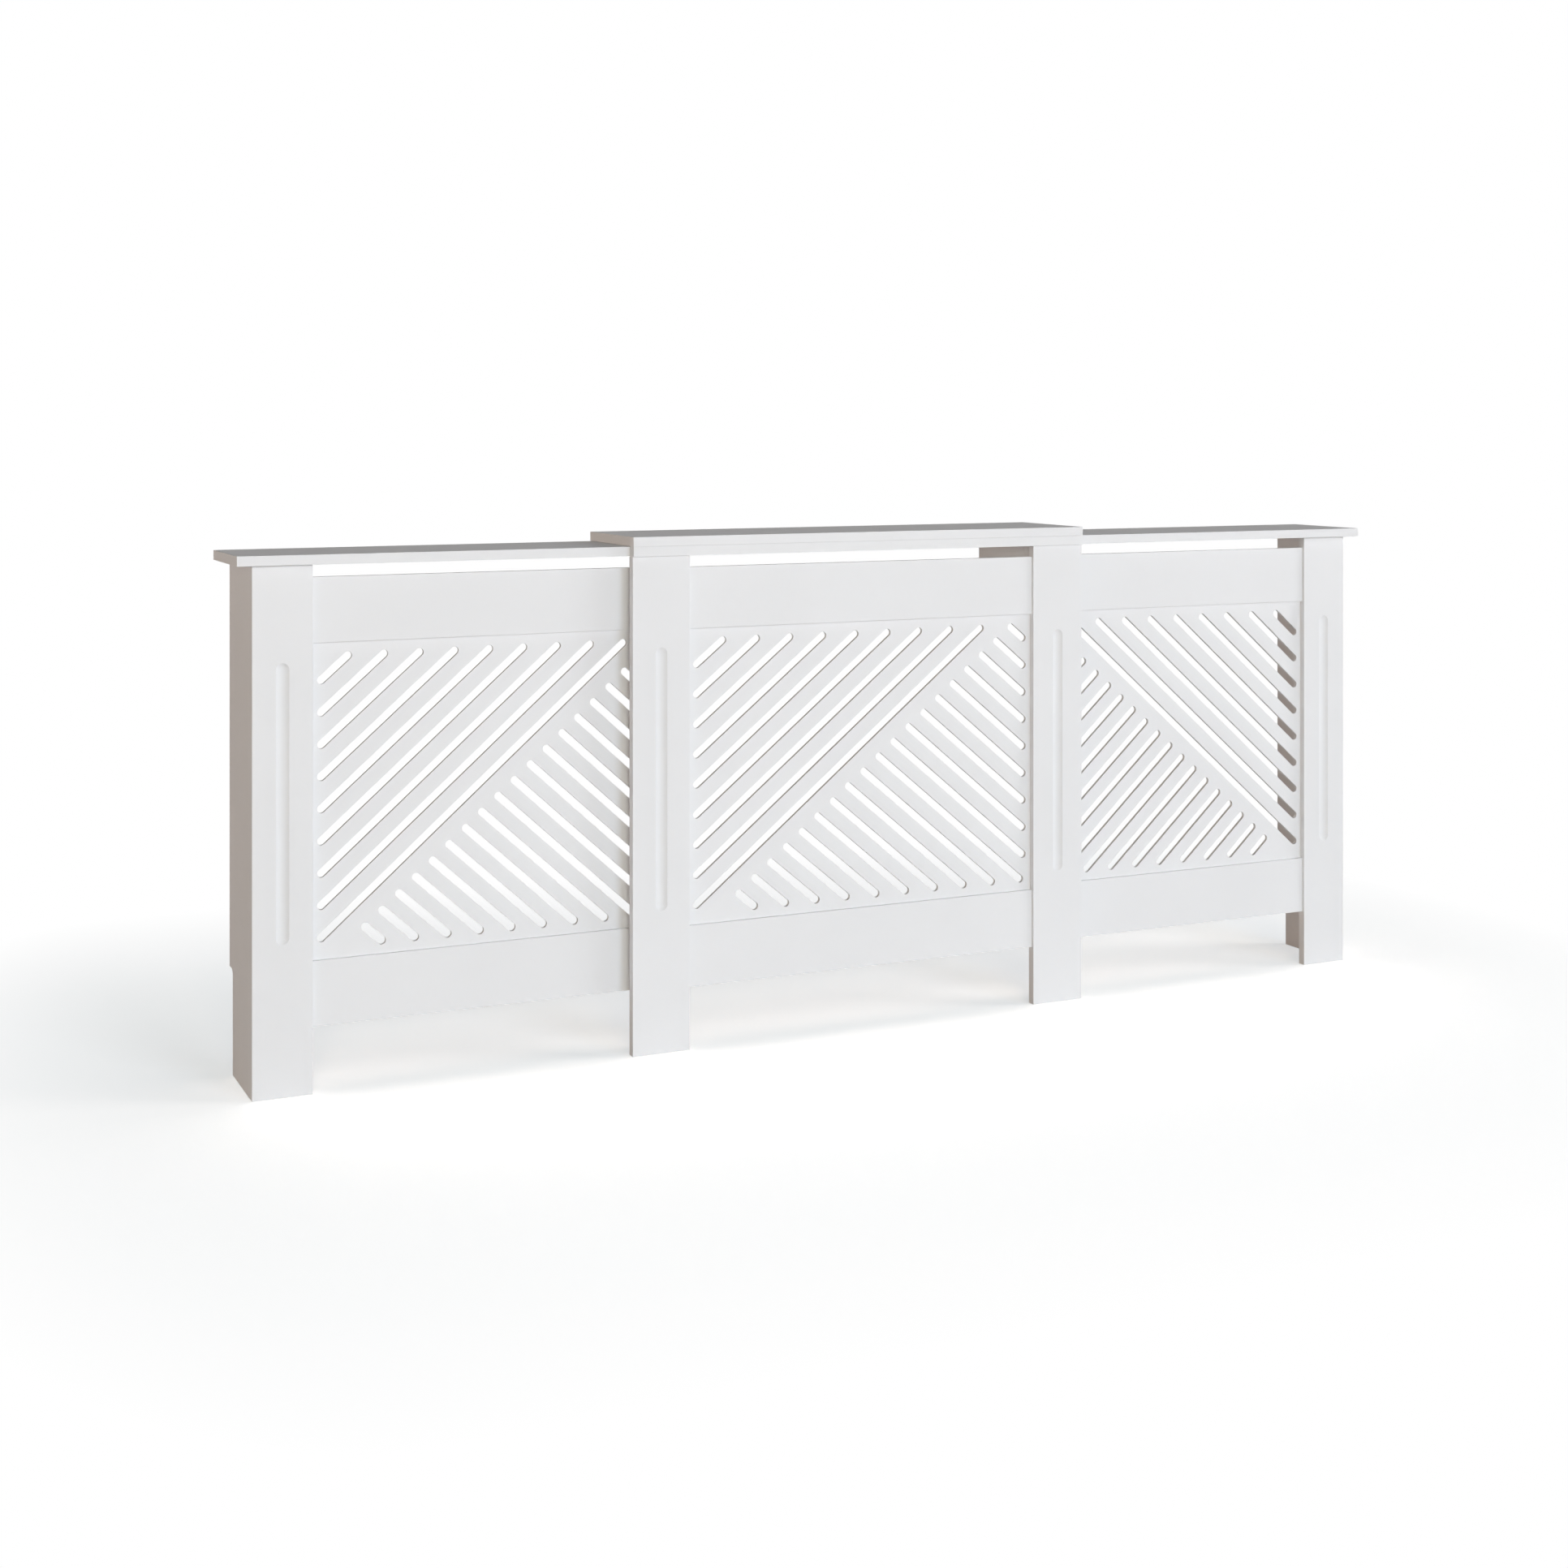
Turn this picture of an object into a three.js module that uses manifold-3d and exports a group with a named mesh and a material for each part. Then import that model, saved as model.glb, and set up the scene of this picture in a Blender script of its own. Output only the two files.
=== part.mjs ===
// Extending radiator cover. A centre unit carries the top board over a slotted front, and two side
// units slide out along the wall from under that top board. They are shown drawn right out.
//
// Millimetres. +X runs along the wall, +Y points to the wall, +Z is up, and the floor is Z = 0.
// While the pieces are built, Y = 0 is the front face of the centre posts. The last lines move
// the whole cover so that its depth is centred on the origin.

import * as THREE from 'three';
import { mergeVertices } from 'three/addons/utils/BufferGeometryUtils.js';
import Module from 'manifold-3d';

const wasm = await Module();
wasm.setup();

// ---------------------------------------------------------------------------------------------
// Driving dimensions
// ---------------------------------------------------------------------------------------------

// Overall
const overallHeight = 820;
const overallDepth = 200;
const centreWidth = 833.5; // over the outer edges of the centre posts
const sideLength = 681.5; // a side unit's front, from its outer edge to its inner end
const endCover = 5.75; // how far a side unit's inner end stays hidden behind a centre post

// Boards
const board = 15; // top, apron, posts, shelves, stiles and braces
const sidePanelThickness = 18;
const railThickness = 10;
const grilleThickness = 6;
const centrePostWidth = 97.5;
const sidePostWidth = 90;
const railHeight = 98.5;
const stileWidth = 15;
const braceHeight = 98.5;
const battenSize = 20;

// Places of the boards
const topProud = 4; // the top and the apron stand in front of the centre posts
const footGap = 98.5; // air inlet, from the floor to a lower rail
const airGap = 18.9; // air outlet, from an upper rail to the apron
const railSetback = 5; // a rail's face behind the face of its posts
const grilleSetback = 11; // a grille's face behind the face of its posts
const grilleLap = 10; // a grille's edge behind its rails and posts
const shelfFrontOverhang = 12.5;
const shelfEndOverhang = 24.5;
const skirtingDepth = 25; // cut-out in a side panel for the skirting board
const skirtingHeight = 162;
const skirtingRadius = 10;

// Grooves down the posts
const fluteWidth = 20;
const fluteDepth = 4;
const fluteBottom = 226.5;
const fluteTop = 644;

// Slots in the grilles. The long slots rise from the outer edge, and the short ones fall from a
// line that is parallel to them. Rise and fall are taken over the width of the whole pattern.
// A corner drop runs down the outer upright's edge, from the slots' top row to the line of the
// first long slot.
const slotWidth = 12.7;
const slotRise = 515;
const slotFall = 534;
const slotCornerDrop = 49.7;
const sideSlotCornerDrop = 48.3;
const slotPitch = 48.25; // from one long slot down to the next
const longSlots = 9;
const shortSlots = 19;
const slotMarginTop = 15.1;
const slotMarginBottom = 13;
const slotMarginSide = 8.7;
const slotMarginCentreStart = 9.9; // beside the left post, where the centre's long slots start
const sidePatternWidth = 589; // the pattern is drawn narrower on the side units
const shortestSlot = 6;

// Fixings
const railDowelRadius = 3;
const railDowelLength = 30;
const railDowelSpacing = 50;
const stileDowelLength = 24;
const postDowelRadius = 4;
const postDowelSpacing = 50;
const postDowelDepth = 20; // into the end of a post or a side panel
const topDowelDepth = 9; // into a top board or a shelf
const bracketWidth = 20;
const bracketLeg = 40;
const bracketThickness = 2;
const bracketHoleRadius = 2.5;
const bracketDrop = 67.5; // from a shelf's underside down to the middle of its bracket
const screwRadius = 1.75;
const screwHeadRadius = 4;
const screwHeadHeight = 2.2;
const screwBite = 10; // into the side panel

// Clearances
const glueLine = 0.1; // between two glued or butted boards
const fitGap = 0.3; // round a dowel, a screw or the edge of a grille
const slideClearance = 0.5; // above and below a side shelf as it slides
const apronGap = 1; // between the apron and a side shelf

// Smoothness
const arcSegments = 3; // of a quarter circle at a slot's end
const roundSegments = 12; // round a dowel or a screw
const fluteSegments = 32; // round the whole capsule that cuts a groove

// ---------------------------------------------------------------------------------------------
// Levels and lines that follow from them
// ---------------------------------------------------------------------------------------------

const topUnderside = overallHeight - board;
const shelfTop = topUnderside - slideClearance;
const shelfUnderside = shelfTop - board;
const apronUnderside = shelfUnderside - slideClearance;
const lowerRailTop = footGap + railHeight;
const upperRailTop = apronUnderside - airGap;
const upperRailBottom = upperRailTop - railHeight;

const backPlane = overallDepth - topProud;
const apronBack = board - topProud;
const shelfFront = apronBack + apronGap;
const sideFront = shelfFront + shelfFrontOverhang;
const sideFrameBack = sideFront + board;

const centreEdge = centreWidth / 2;
const centreOpening = centreWidth - 2 * centrePostWidth;
const innerEnd = centreOpening / 2 + endCover;
const sideEdge = innerEnd + sideLength;
const sidePostInner = sideEdge - sidePostWidth;
const stileOuter = innerEnd + stileWidth;
const panelInner = sideEdge - sidePanelThickness;

const bracketMiddle = shelfUnderside - bracketDrop;
const bracketHoleLine = bracketLeg / 2 + bracketThickness; // from the corner of the angle

// ---------------------------------------------------------------------------------------------
// Materials
// ---------------------------------------------------------------------------------------------

const paint = new THREE.MeshStandardMaterial({ color: 0xe6e7e9, roughness: 0.42, metalness: 0 });
const beech = new THREE.MeshStandardMaterial({ color: 0xd2b48c, roughness: 0.7, metalness: 0 });
const softwood = new THREE.MeshStandardMaterial({ color: 0xcfb087, roughness: 0.75, metalness: 0 });
const steel = new THREE.MeshStandardMaterial({ color: 0xb4b7ba, roughness: 0.35, metalness: 1 });

// ---------------------------------------------------------------------------------------------
// Shapes
// ---------------------------------------------------------------------------------------------

/** A board between two corners. */
function block([x0, y0, z0], [x1, y1, z1]) {
  const geometry = new THREE.BoxGeometry(Math.abs(x1 - x0), y1 - y0, z1 - z0);
  return geometry.translate((x0 + x1) / 2, (y0 + y1) / 2, (z0 + z1) / 2);
}

/** A round bar along one axis ('x', 'y' or 'z'), from its start point. */
function bar(axis, radius, [x, y, z], length) {
  const geometry = new THREE.CylinderGeometry(radius, radius, length, roundSegments);
  geometry.translate(0, length / 2, 0);
  if (axis === 'x') geometry.rotateZ(-Math.PI / 2);
  if (axis === 'z') geometry.rotateX(Math.PI / 2);
  return geometry.translate(x, y, z);
}

/** A shape drawn in X and Z, made solid from y0 back to y1. */
function solidAlongY(shape, y0, y1) {
  const geometry = new THREE.ExtrudeGeometry(shape, {
    depth: y1 - y0, bevelEnabled: false, curveSegments: arcSegments,
  });
  const toFrame = new THREE.Matrix4().makeBasis(
    new THREE.Vector3(1, 0, 0), new THREE.Vector3(0, 0, 1), new THREE.Vector3(0, -1, 0));
  return geometry.applyMatrix4(toFrame).translate(0, y1, 0);
}

/** A shape drawn in Y and Z, made solid from x0 to x1, whichever is lower. */
function solidAlongX(shape, x0, x1) {
  const geometry = new THREE.ExtrudeGeometry(shape, {
    depth: Math.abs(x1 - x0), bevelEnabled: false, curveSegments: arcSegments,
  });
  const toFrame = new THREE.Matrix4().makeBasis(
    new THREE.Vector3(0, 1, 0), new THREE.Vector3(0, 0, 1), new THREE.Vector3(1, 0, 0));
  return geometry.applyMatrix4(toFrame).translate(Math.min(x0, x1), 0, 0);
}

/** A shape drawn in X and Y, made solid from z0 up to z1. */
function solidAlongZ(shape, z0, z1) {
  const geometry = new THREE.ExtrudeGeometry(shape, { depth: z1 - z0, bevelEnabled: false });
  return geometry.translate(0, 0, z0);
}

function toManifold(geometry) {
  const bare = geometry.clone();
  bare.deleteAttribute('normal');
  bare.deleteAttribute('uv');
  const merged = mergeVertices(bare, 1e-4);
  return new wasm.Manifold(new wasm.Mesh({
    numProp: 3,
    vertProperties: new Float32Array(merged.attributes.position.array),
    triVerts: new Uint32Array(merged.index.array),
  }));
}

/** One solid less all the cutters. */
function cut(geometry, cutters) {
  let solid = toManifold(geometry);
  for (const cutter of cutters) solid = solid.subtract(toManifold(cutter));
  const mesh = solid.getMesh();
  const result = new THREE.BufferGeometry();
  result.setAttribute('position', new THREE.BufferAttribute(mesh.vertProperties, 3));
  result.setIndex(new THREE.BufferAttribute(mesh.triVerts, 1));
  result.computeVertexNormals();
  return result;
}

const cover = new THREE.Group();

function piece(name, geometry, material = paint) {
  const mesh = new THREE.Mesh(geometry, material);
  mesh.name = name;
  cover.add(mesh);
}

// ---------------------------------------------------------------------------------------------
// Dowels: each one is a bar, and a slightly larger and longer bar cuts its hole
// ---------------------------------------------------------------------------------------------

function dowel(axis, radius, start, length) {
  const along = { x: 0, y: 1, z: 2 }[axis];
  const holeStart = [...start];
  holeStart[along] -= fitGap;
  return {
    solid: bar(axis, radius, start, length),
    hole: bar(axis, radius + fitGap, holeStart, length + 2 * fitGap),
  };
}

/** The dowels of one rail end, half in the rail and half in the upright at `seam`. */
function railEndDowels(seam, faceY, railBottom, length, count) {
  const middle = railBottom + railHeight / 2;
  const y = faceY + railSetback + railThickness / 2;
  return Array.from({ length: count }, (_, i) => {
    const z = middle + (i - (count - 1) / 2) * railDowelSpacing;
    return dowel('x', railDowelRadius, [seam - length / 2, y, z], length);
  });
}

// ---------------------------------------------------------------------------------------------
// Boards that the centre unit and the side units share
// ---------------------------------------------------------------------------------------------

/** The cutter of a post's groove: a long capsule that dips into the face at Y = faceY. */
function fluteCutter(x, faceY) {
  const half = fluteWidth / 2;
  const radius = (half ** 2 + fluteDepth ** 2) / (2 * fluteDepth);
  const straight = fluteTop - fluteBottom - fluteWidth;
  const geometry = new THREE.CapsuleGeometry(radius, straight, fluteSegments / 4, fluteSegments);
  geometry.rotateX(Math.PI / 2);
  return geometry.translate(x, faceY + fluteDepth - radius, (fluteTop + fluteBottom) / 2);
}

/** What a grille takes out of the boards round it, so that it lies in a rebate. */
function grilleRebate(x0, x1, faceY) {
  const floor = faceY + grilleSetback - glueLine;
  return block(
    [Math.min(x0, x1) - grilleLap - fitGap, floor, lowerRailTop - grilleLap - fitGap],
    [Math.max(x0, x1) + grilleLap + fitGap, floor + board, upperRailBottom + grilleLap + fitGap]);
}

function post(x0, x1, faceY, top, cutters) {
  const solid = block([Math.min(x0, x1), faceY, 0], [Math.max(x0, x1), faceY + board, top]);
  return cut(solid, [fluteCutter((x0 + x1) / 2, faceY), ...cutters]);
}

/** A rail between two uprights. */
function rail(x0, x1, faceY, bottom, cutters) {
  const front = faceY + railSetback;
  return cut(
    block([Math.min(x0, x1) + glueLine, front, bottom],
      [Math.max(x0, x1) - glueLine, front + railThickness, bottom + railHeight]),
    cutters);
}

/** The stretch of the line through `point` with this slope that lies inside the field. */
function insideField(point, slope, field) {
  const at = (x) => point[1] + slope * (x - point[0]);
  const reach = (z) => point[0] + (z - point[1]) / slope;
  const rising = slope > 0;
  const x0 = Math.max(field.left, reach(rising ? field.bottom : field.top));
  const x1 = Math.min(field.right, reach(rising ? field.top : field.bottom));
  return [[x0, at(x0)], [x1, at(x1)]];
}

/** The slots' end centres. u runs from the pattern's outer edge, and w is the pattern's width. */
function slotLines(w, cornerDrop, field) {
  const rise = slotRise / w;
  const fall = slotFall / w;
  const lines = [];
  for (let i = 0; i < longSlots; i += 1) {
    const start = [0, field.top - cornerDrop - i * slotPitch];
    lines.push(insideField(start, rise, field));
  }
  const wide = { ...field, right: Infinity };
  const divider = [0, field.top - cornerDrop - longSlots * slotPitch];
  const [foot, head] = insideField(divider, rise, wide);
  for (let i = 0; i < shortSlots; i += 1) {
    const t = i / shortSlots;
    const start = [head[0] + t * (foot[0] - head[0]), head[1] + t * (foot[1] - head[1])];
    lines.push([start, insideField(start, -fall, field)[1]]);
  }
  return lines.filter(([a, b]) => b[0] - a[0] > shortestSlot);
}

/** A round-ended slot between two end centres, as a hole for a shape. */
function slotHole([x0, z0], [x1, z1]) {
  const angle = Math.atan2(z1 - z0, x1 - x0);
  const radius = slotWidth / 2;
  const hole = new THREE.Path();
  hole.absarc(x1, z1, radius, angle - Math.PI / 2, angle + Math.PI / 2, false);
  hole.absarc(x0, z0, radius, angle + Math.PI / 2, angle + Math.PI * 1.5, false);
  hole.closePath();
  return hole;
}

/**
 * A slotted grille. Its pattern starts at the upright's edge `outer` and runs inwards; `inner` is
 * the edge of the other upright, and `patternWidth` is the width that the slopes are drawn over.
 */
function grille(outer, inner, faceY, patternWidth, cornerDrop, startMargin) {
  const direction = Math.sign(inner - outer);
  const opening = Math.abs(inner - outer);
  const end = slotWidth / 2;
  const field = {
    left: startMargin + end,
    right: Math.min(patternWidth, opening) - slotMarginSide - end,
    bottom: lowerRailTop + slotMarginBottom + end,
    top: upperRailBottom - slotMarginTop - end,
  };
  const place = ([u, z]) => [outer + direction * u, z];
  const low = Math.min(outer, inner) - grilleLap;
  const high = Math.max(outer, inner) + grilleLap;
  const foot = lowerRailTop - grilleLap;
  const head = upperRailBottom + grilleLap;
  const sheet = new THREE.Shape([
    new THREE.Vector2(low, foot), new THREE.Vector2(high, foot),
    new THREE.Vector2(high, head), new THREE.Vector2(low, head),
  ]);
  for (const [a, b] of slotLines(patternWidth, cornerDrop, field)) {
    sheet.holes.push(slotHole(place(a), place(b)));
  }
  const front = faceY + grilleSetback;
  return solidAlongY(sheet, front, front + grilleThickness);
}

// ---------------------------------------------------------------------------------------------
// Centre unit
// ---------------------------------------------------------------------------------------------

function centreUnit() {
  const postInner = centreOpening / 2;
  const postMiddle = centreEdge - centrePostWidth / 2;
  const rails = { upper: upperRailBottom, lower: footGap };

  const topDowels = {};
  const railDowels = {};
  for (const [side, sign] of [['left', -1], ['right', 1]]) {
    topDowels[side] = [-1, 1].map((end) => dowel('z', postDowelRadius,
      [sign * postMiddle + end * postDowelSpacing / 2, apronBack / 2,
        apronUnderside - postDowelDepth],
      postDowelDepth + (topUnderside - apronUnderside) + topDowelDepth));
    for (const [level, bottom] of Object.entries(rails)) {
      railDowels[`${level}_${side}`] =
        railEndDowels(sign * postInner, 0, bottom, railDowelLength, 2);
    }
  }
  const holes = (...lists) => lists.flat().map((d) => d.hole);

  const topHoles = holes(topDowels.left, topDowels.right);
  piece('centre_top', cut(block([-centreEdge, -topProud, topUnderside],
    [centreEdge, backPlane, overallHeight]), topHoles));
  piece('centre_apron', cut(block([-centreEdge, -topProud, apronUnderside],
    [centreEdge, apronBack, topUnderside - glueLine]), topHoles));

  const rebate = grilleRebate(-postInner, postInner, 0);
  for (const [side, sign] of [['left', -1], ['right', 1]]) {
    piece(`centre_${side}_post`, post(sign * postInner, sign * centreEdge, 0,
      apronUnderside - glueLine, [rebate, ...holes(
        topDowels[side], railDowels[`upper_${side}`], railDowels[`lower_${side}`])]));
  }
  for (const [level, bottom] of Object.entries(rails)) {
    piece(`centre_${level}_rail`, rail(-postInner, postInner, 0, bottom, [rebate, ...holes(
      railDowels[`${level}_left`], railDowels[`${level}_right`])]));
  }
  piece('centre_grille', grille(-postInner, postInner, 0, centreOpening, slotCornerDrop,
    slotMarginCentreStart));

  for (const side of ['left', 'right']) {
    topDowels[side].forEach((d, i) => piece(`centre_${side}_post_dowel_${i + 1}`, d.solid, beech));
  }
  for (const [end, list] of Object.entries(railDowels)) {
    list.forEach((d, i) => piece(`centre_${end}_rail_dowel_${i + 1}`, d.solid, beech));
  }
}

// ---------------------------------------------------------------------------------------------
// Side units: `sign` is -1 for the left one and 1 for the right one
// ---------------------------------------------------------------------------------------------

/** The side panel, with its cut-out for the skirting board at the lower back. */
function sidePanel(sign, cutters) {
  const front = sideFrameBack + glueLine;
  const top = shelfUnderside - glueLine;
  const notchFront = backPlane - skirtingDepth;
  const shape = new THREE.Shape();
  shape.moveTo(front, 0);
  shape.lineTo(notchFront, 0);
  shape.absarc(notchFront + skirtingRadius, skirtingHeight - skirtingRadius, skirtingRadius,
    Math.PI, Math.PI / 2, true);
  shape.lineTo(backPlane, skirtingHeight);
  shape.lineTo(backPlane, top);
  shape.lineTo(front, top);
  shape.closePath();
  return cut(solidAlongX(shape, sign * panelInner, sign * sideEdge), cutters);
}

/** The steel angle behind the upper rail: one leg on the side panel, the other on the wall. */
function wallBracket(sign) {
  const corner = panelInner - glueLine;
  const angle = new THREE.Shape([
    [corner, backPlane],
    [corner, backPlane - bracketLeg],
    [corner - bracketThickness, backPlane - bracketLeg],
    [corner - bracketThickness, backPlane - bracketThickness],
    [corner - bracketLeg, backPlane - bracketThickness],
    [corner - bracketLeg, backPlane],
  ].map(([x, y]) => new THREE.Vector2(sign * x, y)));
  const solid = solidAlongZ(angle, bracketMiddle - bracketWidth / 2,
    bracketMiddle + bracketWidth / 2);
  const through = 2 * bracketThickness;
  return cut(solid, [
    bar('x', bracketHoleRadius, [sign * (corner - bracketThickness / 2) - through / 2,
      backPlane - bracketHoleLine, bracketMiddle], through),
    bar('y', bracketHoleRadius, [sign * (corner - bracketHoleLine),
      backPlane - 1.5 * bracketThickness, bracketMiddle], through),
  ]);
}

/** The screw that holds the bracket to the side panel. */
function bracketScrew(sign) {
  const seat = panelInner - bracketThickness - 2 * glueLine;
  const rim = screwHeadHeight / 3;
  const profile = [
    [0, -screwHeadHeight], [screwHeadRadius - rim, -screwHeadHeight],
    [screwHeadRadius, -screwHeadHeight + rim], [screwHeadRadius, 0],
    [screwRadius, 0], [screwRadius, bracketThickness + screwBite - screwRadius],
    [0, bracketThickness + screwBite],
  ].map(([r, h]) => new THREE.Vector2(r, h));
  const geometry = new THREE.LatheGeometry(profile, roundSegments);
  geometry.rotateZ(-sign * Math.PI / 2);
  return geometry.translate(sign * seat, backPlane - bracketHoleLine, bracketMiddle);
}

function sideUnit(side, sign) {
  const rails = { upper: upperRailBottom, lower: footGap };
  const x = (distance) => sign * distance;
  const span = (a, b) => [Math.min(x(a), x(b)), Math.max(x(a), x(b))];
  const board3 = ([xa, xb], [ya, yb], [za, zb]) => block([xa, ya, za], [xb, yb, zb]);

  const outerDowels = {};
  const stileDowels = {};
  for (const [level, bottom] of Object.entries(rails)) {
    outerDowels[level] = railEndDowels(x(sidePostInner), sideFront, bottom, railDowelLength, 2);
    stileDowels[level] = railEndDowels(x(stileOuter), sideFront, bottom, stileDowelLength, 1);
  }
  const shelfDowel = (dx, y) => dowel('z', postDowelRadius,
    [x(dx), y, shelfUnderside - postDowelDepth], postDowelDepth + topDowelDepth);
  const postDowel = shelfDowel(sideEdge - sidePostWidth / 2, sideFront + board / 2);
  const panelDowel = shelfDowel(sideEdge - sidePanelThickness / 2,
    (sideFrameBack + backPlane) / 2);
  const holes = (...lists) => lists.flat().map((d) => d.hole);

  const screwHole = bar('x', screwRadius + fitGap,
    [x(panelInner + screwBite / 2) - screwBite / 2 - fitGap, backPlane - bracketHoleLine,
      bracketMiddle], screwBite + 2 * fitGap);

  piece(`${side}_shelf`, cut(board3(span(innerEnd, sideEdge + shelfEndOverhang),
    [shelfFront, backPlane], [shelfUnderside, shelfTop]),
  [postDowel.hole, panelDowel.hole]));

  const rebate = grilleRebate(x(stileOuter), x(sidePostInner), sideFront);
  piece(`${side}_post`, post(x(sidePostInner), x(sideEdge), sideFront,
    shelfUnderside - glueLine,
    [rebate, postDowel.hole, ...holes(outerDowels.upper, outerDowels.lower)]));
  piece(`${side}_side_panel`, sidePanel(sign, [panelDowel.hole, screwHole]));
  for (const [level, bottom] of Object.entries(rails)) {
    piece(`${side}_${level}_rail`, rail(x(stileOuter), x(sidePostInner), sideFront, bottom,
      [rebate, ...holes(outerDowels[level], stileDowels[level])]));
  }
  piece(`${side}_grille`, grille(x(sidePostInner), x(stileOuter), sideFront, sidePatternWidth,
    sideSlotCornerDrop, slotMarginSide));
  piece(`${side}_inner_stile`, cut(board3(span(innerEnd, stileOuter),
    [sideFront, sideFrameBack], [footGap, shelfUnderside - glueLine]),
  [rebate, ...holes(stileDowels.upper, stileDowels.lower)]));
  piece(`${side}_inner_brace`, board3(span(innerEnd, innerEnd + board),
    [sideFrameBack + glueLine, backPlane],
    [shelfUnderside - glueLine - braceHeight, shelfUnderside - glueLine]));
  piece(`${side}_corner_batten`, board3(
    span(panelInner - battenSize - glueLine, panelInner - glueLine),
    [sideFrameBack + glueLine, sideFrameBack + glueLine + battenSize],
    [footGap, shelfUnderside - glueLine]), softwood);

  piece(`${side}_shelf_dowel_front`, postDowel.solid, beech);
  piece(`${side}_shelf_dowel_back`, panelDowel.solid, beech);
  for (const level of Object.keys(rails)) {
    outerDowels[level].forEach((d, i) =>
      piece(`${side}_${level}_rail_dowel_${i + 1}`, d.solid, beech));
    stileDowels[level].forEach((d) => piece(`${side}_${level}_stile_dowel`, d.solid, beech));
  }
  piece(`${side}_wall_bracket`, wallBracket(sign), steel);
  piece(`${side}_bracket_screw`, bracketScrew(sign), steel);
}

centreUnit();
sideUnit('left', -1);
sideUnit('right', 1);

// The origin is on the floor, under the middle of the cover.
cover.position.y = -(backPlane - topProud) / 2;

export default cover;
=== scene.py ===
"""Extending radiator cover: its looks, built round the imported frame.

Every board, grille, steel angle and screw is remade here with eased edges, round slot ends and
smooth grooves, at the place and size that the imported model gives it. The dowels, hidden in their
holes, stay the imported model's own. Metres; +X runs along the wall, +Y points to the wall, and the
floor is Z = 0.
"""
import math

import bmesh
import bpy
from mathutils import Matrix, Vector


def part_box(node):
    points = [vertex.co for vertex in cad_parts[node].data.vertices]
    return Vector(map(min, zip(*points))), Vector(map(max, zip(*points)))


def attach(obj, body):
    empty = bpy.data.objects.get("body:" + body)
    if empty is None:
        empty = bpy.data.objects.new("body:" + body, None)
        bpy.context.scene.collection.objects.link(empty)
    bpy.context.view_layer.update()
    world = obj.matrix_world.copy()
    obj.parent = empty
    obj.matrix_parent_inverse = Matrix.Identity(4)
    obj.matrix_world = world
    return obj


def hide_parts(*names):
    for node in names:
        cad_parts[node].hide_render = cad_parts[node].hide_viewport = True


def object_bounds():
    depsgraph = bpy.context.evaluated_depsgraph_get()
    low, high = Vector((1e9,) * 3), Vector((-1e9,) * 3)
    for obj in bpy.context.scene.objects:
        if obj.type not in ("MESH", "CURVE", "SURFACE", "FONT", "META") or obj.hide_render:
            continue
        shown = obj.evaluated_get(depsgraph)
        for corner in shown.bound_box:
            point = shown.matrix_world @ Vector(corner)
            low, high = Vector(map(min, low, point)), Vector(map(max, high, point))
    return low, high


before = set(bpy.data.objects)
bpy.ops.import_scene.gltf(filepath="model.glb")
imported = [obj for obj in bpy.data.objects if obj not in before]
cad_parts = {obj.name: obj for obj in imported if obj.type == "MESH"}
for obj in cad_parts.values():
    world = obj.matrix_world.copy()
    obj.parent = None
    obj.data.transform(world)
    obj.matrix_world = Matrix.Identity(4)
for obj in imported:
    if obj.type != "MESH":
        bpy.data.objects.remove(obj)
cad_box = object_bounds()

MM = 0.001

# ---------------------------------------------------------------------------------------------
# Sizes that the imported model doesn't give by a box
# ---------------------------------------------------------------------------------------------

EDGE = 0.5 * MM            # rounding of a board's edges
CORNER = 2 * EDGE          # rounding of a board's corners, as seen on its face
SEAM_EDGE = 0.25 * MM      # rounding where two boards make one face
EDGE_STEPS = 3
CORNER_STEPS = 4
SMOOTH_ANGLE = 38          # degrees; a crease sharper than this stays sharp

# The slots: long ones rise from the outer edge, and short ones fall from a line that is parallel
# to them. Rise and fall are taken over the width of the whole pattern. A corner drop runs down
# the outer upright's edge, from the slots' top row to the line of the first long slot.
SLOT_WIDTH = 12.7 * MM
SLOT_EDGE = 0.3 * MM       # rounding of a slot's rim and of the grille's own edges
SLOT_STEPS = 14            # of the half circle at a slot's end
SLOT_RISE = 515 * MM
SLOT_FALL = 534 * MM
SLOT_CORNER_DROP = 49.7 * MM
SIDE_SLOT_CORNER_DROP = 48.3 * MM
SLOT_PITCH = 48.25 * MM    # from one long slot down to the next
LONG_SLOTS = 9
SHORT_SLOTS = 19
SLOT_MARGIN_TOP = 15.1 * MM
SLOT_MARGIN_BOTTOM = 13 * MM
SLOT_MARGIN_SIDE = 8.7 * MM
SLOT_MARGIN_CENTRE_START = 9.9 * MM  # beside the left post, where the centre's long slots start
SIDE_PATTERN_WIDTH = 589 * MM        # the centre's pattern is as wide as its opening
SHORTEST_SLOT = 6 * MM

GRILLE_LAP = 10 * MM       # a grille's edge behind its rails and posts
GLUE_LINE = 0.1 * MM       # between two glued or butted boards
FIT_GAP = 0.3 * MM         # round a dowel or the edge of a grille
REBATE_REACH = 100 * MM    # a rebate's cutter runs out behind every board
DOWEL_HOLE_SIDES = 20

FLUTE_WIDTH = 20 * MM
FLUTE_DEPTH = 4 * MM
FLUTE_BOTTOM = 226.5 * MM
FLUTE_TOP = 644 * MM
FLUTE_STEPS = 9            # from the rim to the middle
FLUTE_RIM = 0.4 * MM       # rounding of the groove's rim
FLUTE_RIM_STEPS = 2
FLUTE_RIM_END = 0.3 * FLUTE_RIM  # from the groove's edge in to the end of its rim

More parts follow.
